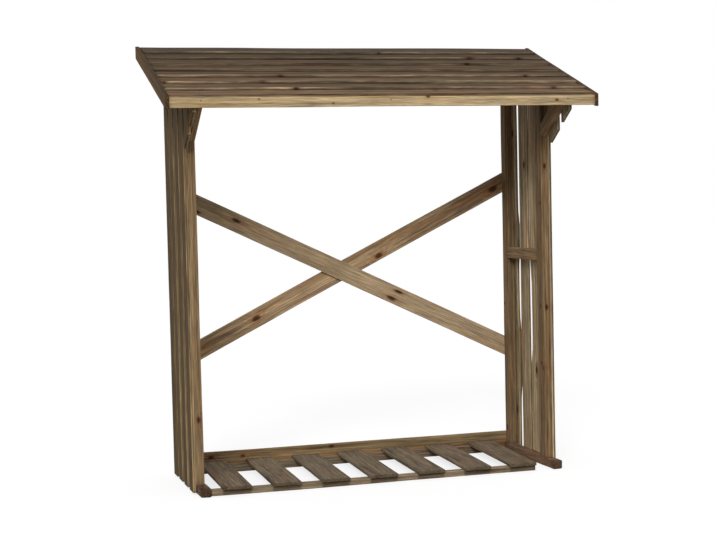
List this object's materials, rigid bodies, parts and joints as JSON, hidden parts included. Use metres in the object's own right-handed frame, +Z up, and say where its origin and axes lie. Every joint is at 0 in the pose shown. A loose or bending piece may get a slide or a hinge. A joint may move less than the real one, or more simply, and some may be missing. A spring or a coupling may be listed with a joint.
{
  "type": "log store",
  "caption": "Open-fronted timber log store with slatted sides, a lean-to roof of lapped boards, crossed back braces and a loose slatted floor.",
  "frame": {"origin": "on the ground, under the middle of the roof", "axes": "+X to the right along the width as seen from the open front, +Y to the back, +Z up"},
  "size_m": [1.362, 0.552, 1.3923],
  "materials": {
    "roof_board": "weathered, sawn",
    "fascia": "weathered, sawn",
    "barge": "weathered, sawn",
    "floor": "weathered, sawn",
    "side_board": "weathered, sawn",
    "back_board": "weathered, sawn",
    "sole": "weathered, sawn",
    "frame": "weathered, sawn"
  },
  "bodies": {
    "root": {"back_diagonal_front": "back_board", "back_diagonal_rear": "back_board", "back_top_rail": "frame", "floor_back_bearer": "floor", "floor_front_bearer": "floor", "floor_slat_1": "floor", "floor_slat_2": "floor", "floor_slat_3": "floor", "floor_slat_4": "floor", "floor_slat_5": "floor", "floor_slat_6": "floor", "floor_slat_7": "floor", "front_fascia": "fascia", "left_back_post": "frame", "left_barge_board": "barge", "left_front_post": "frame", "left_knee_brace": "frame", "left_mid_rail": "frame", "left_rafter": "frame", "left_side_boards": "side_board", "left_sole_rail": "sole", "left_wing_boards": "side_board", "low_back_board": "back_board", "middle_rafter": "frame", "right_back_post": "frame", "right_barge_board": "barge", "right_front_post": "frame", "right_knee_brace": "frame", "right_mid_rail": "frame", "right_rafter": "frame", "right_side_boards": "side_board", "right_sole_rail": "sole", "right_wing_boards": "side_board", "roof_board_1": "roof_board", "roof_board_2": "roof_board", "roof_board_3": "roof_board", "roof_board_4": "roof_board", "roof_board_5": "roof_board", "roof_board_6": "roof_board", "roof_board_7": "roof_board", "roof_board_8": "roof_board"}
  },
  "joints": []
}
